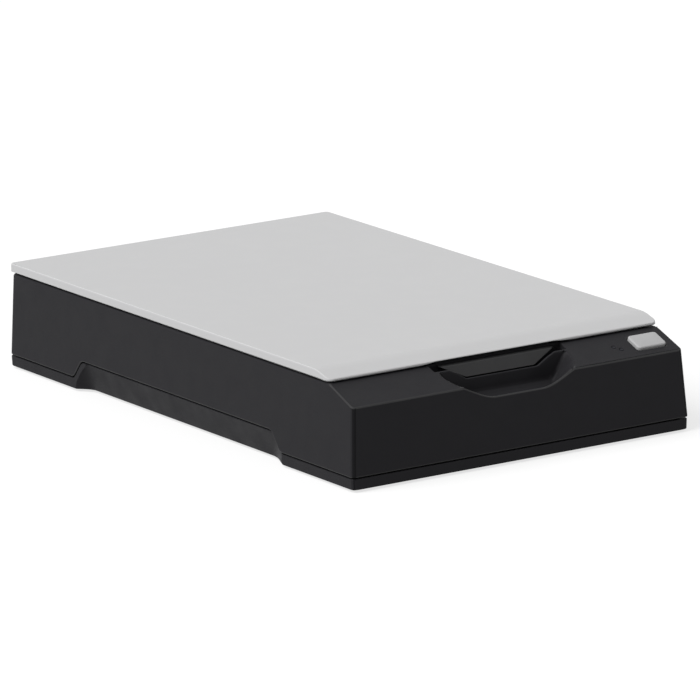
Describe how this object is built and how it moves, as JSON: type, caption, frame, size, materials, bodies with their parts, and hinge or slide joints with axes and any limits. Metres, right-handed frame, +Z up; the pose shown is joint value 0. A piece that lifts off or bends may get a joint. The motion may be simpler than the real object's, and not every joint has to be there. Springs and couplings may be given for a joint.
{
  "type": "flatbed scanner",
  "caption": "Compact flatbed document scanner: black two-shell casing, sloped key strip, pale hinged lid with a handle lip, glass platen, and a belt-driven contact sensor inside.",
  "frame": {"origin": "middle of the footprint, on the table under the feet", "axes": "+X to the right seen from the front, +Y to the back where the lid's hinge is, +Z up"},
  "size_m": [0.145, 0.234, 0.04],
  "materials": {
    "casing_black": "fine moulded texture, charcoal black",
    "frame_black": "fine moulded texture, dark grey",
    "lid_grey": "satin pale grey",
    "key_grey": "satin light grey",
    "foot_rubber": "matt black rubber",
    "belt_rubber": "matt toothed belt",
    "pad_foam": "closed-cell grey foam",
    "pad_white": "matt white sheet",
    "platen_glass": "clear float glass",
    "lens_blue": "dark translucent lens",
    "screw_steel": "zinc plated steel",
    "bracket_steel": "plain sheet steel",
    "pinion_brass": "machined brass",
    "gear_white": "natural acetal",
    "inner_plastic": "moulded black plastic",
    "board_green": "green solder mask",
    "ribbon_white": "laminated flat cable"
  },
  "bodies": {
    "base": {"upper_casing": "casing_black", "lower_casing": "casing_black", "foot_front_left": "foot_rubber", "foot_front_right": "foot_rubber", "foot_rear_left": "foot_rubber", "foot_rear_right": "foot_rubber", "casing_screw_front_left": "screw_steel", "casing_screw_front_right": "screw_steel", "casing_screw_rear_left": "screw_steel", "casing_screw_rear_right": "screw_steel", "platen_glass": "platen_glass", "glass_gasket": "foot_rubber", "calibration_strip": "pad_white", "button_spring": "screw_steel", "button_board": "board_green", "button_board_screw": "screw_steel", "tact_switch": "inner_plastic", "power_lens": "lens_blue", "status_lens": "lens_blue", "guide_shaft": "screw_steel", "shaft_saddle_front": "inner_plastic", "shaft_saddle_rear": "inner_plastic", "drive_belt": "belt_rubber", "drive_axle": "screw_steel", "reduction_axle": "screw_steel", "idler_axle": "screw_steel", "idler_bracket": "bracket_steel", "tension_spring": "screw_steel", "motor_body": "bracket_steel", "motor_bracket": "bracket_steel", "motor_screw_left": "screw_steel", "motor_screw_right": "screw_steel", "main_board": "board_green", "usb_socket": "bracket_steel", "power_socket": "inner_plastic", "controller_chip": "inner_plastic", "ribbon_cable": "ribbon_white", "ribbon_connector": "inner_plastic"},
    "hinge_posts": {"hinge_post_left": "frame_black", "hinge_post_right": "frame_black", "hinge_pin_left": "screw_steel", "hinge_pin_right": "screw_steel"},
    "lid": {"lid_cover": "lid_grey", "lid_frame": "frame_black", "pad_foam": "pad_foam", "pad_sheet": "pad_white"},
    "scan_key": {"scan_button": "key_grey"},
    "carriage": {"sensor_carriage": "inner_plastic", "sensor_spring_left": "screw_steel", "sensor_spring_right": "screw_steel"},
    "sensor": {"sensor_housing": "inner_plastic", "sensor_window": "platen_glass", "rod_lens_array": "platen_glass", "light_guide": "platen_glass", "sensor_slider_left": "gear_white", "sensor_slider_right": "gear_white"},
    "drive_wheel": {"drive_pulley": "gear_white"},
    "idler_wheel": {"idler_pulley": "gear_white"},
    "reduction_wheel": {"reduction_gear": "gear_white"},
    "motor_rotor": {"motor_pinion": "pinion_brass"}
  },
  "joints": [
    {"name": "hinge_lift", "type": "slide", "parent": "base", "child": "hinge_posts", "axis": [0, 0, 1], "range_m": [0, 0.008]},
    {"name": "lid_hinge", "type": "hinge", "parent": "hinge_posts", "child": "lid", "pos_m": [0, 0.1151, 0.0308], "axis": [-1, 0, 0], "range_deg": [0, 95]},
    {"name": "scan_button_press", "type": "slide", "parent": "base", "child": "scan_key", "axis": [0, 0.3337, -0.9427], "range_m": [0, 0.0008], "stiffness_N_per_m": 1500, "springref_m": -0.0012, "deforming": ["button_spring"]},
    {"name": "carriage_slide", "type": "slide", "parent": "base", "child": "carriage", "axis": [0, 1, 0], "range_m": [0, 0.152], "deforming": ["ribbon_cable"]},
    {"name": "sensor_float", "type": "slide", "parent": "carriage", "child": "sensor", "axis": [0, 0, 1], "range_m": [-0.0008, 0], "stiffness_N_per_m": 900, "springref_m": 0.002, "deforming": ["sensor_spring_left", "sensor_spring_right"]},
    {"name": "drive_pulley_spin", "type": "hinge", "parent": "base", "child": "drive_wheel", "pos_m": [0.022, 0.088, 0.01], "axis": [0, 0, 1], "continuous": true},
    {"name": "idler_pulley_spin", "type": "hinge", "parent": "base", "child": "idler_wheel", "pos_m": [0.022, -0.104, 0.01], "axis": [0, 0, 1], "continuous": true},
    {"name": "reduction_gear_spin", "type": "hinge", "parent": "base", "child": "reduction_wheel", "pos_m": [0.03553, 0.09293, 0.015], "axis": [0, 0, 1], "continuous": true},
    {"name": "motor_pinion_spin", "type": "hinge", "parent": "base", "child": "motor_rotor", "pos_m": [0.05057, 0.08745, 0.018], "axis": [0, 0, 1], "continuous": true}
  ],
  "couplings": [
    {"joint": "drive_pulley_spin", "follows": "carriage_slide", "rad_per_m": -147.06},
    {"joint": "idler_pulley_spin", "follows": "carriage_slide", "rad_per_m": -147.06},
    {"joint": "reduction_gear_spin", "follows": "carriage_slide", "rad_per_m": 294.12},
    {"joint": "motor_pinion_spin", "follows": "carriage_slide", "rad_per_m": -882.35}
  ]
}
